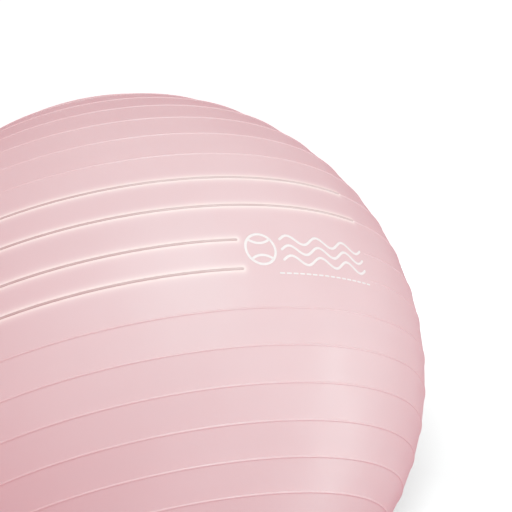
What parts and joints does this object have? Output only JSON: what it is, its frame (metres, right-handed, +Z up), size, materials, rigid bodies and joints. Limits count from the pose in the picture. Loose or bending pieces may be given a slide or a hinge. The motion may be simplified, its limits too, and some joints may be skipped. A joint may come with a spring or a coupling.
{
  "type": "exercise ball",
  "caption": "Inflated ribbed exercise ball of soft pink vinyl resting on the floor, with a pull-out stopper in its air valve.",
  "frame": {"origin": "centre of the flat patch that the ball rests on", "axes": "+Z up from the floor; the pole axis, with the valve at its upper end, leans 33.3 degrees from +Z towards the heading 112.9 degrees from +X; -Y is the side with the smooth field for the printed mark"},
  "size_m": [0.6495, 0.65, 0.6471],
  "materials": {
    "shell_vinyl": "satin",
    "valve_vinyl": "satin",
    "plug_plastic": "satin",
    "print_ink": "satin"
  },
  "bodies": {
    "ball": {"ball_shell": "shell_vinyl", "valve_seat": "valve_vinyl"},
    "plug": {"valve_plug": "plug_plastic"}
  },
  "joints": [
    {"name": "plug_pull", "type": "slide", "parent": "ball", "child": "plug", "axis": [-0.2136, 0.5058, 0.8358], "range_m": [0, 0.03]}
  ]
}
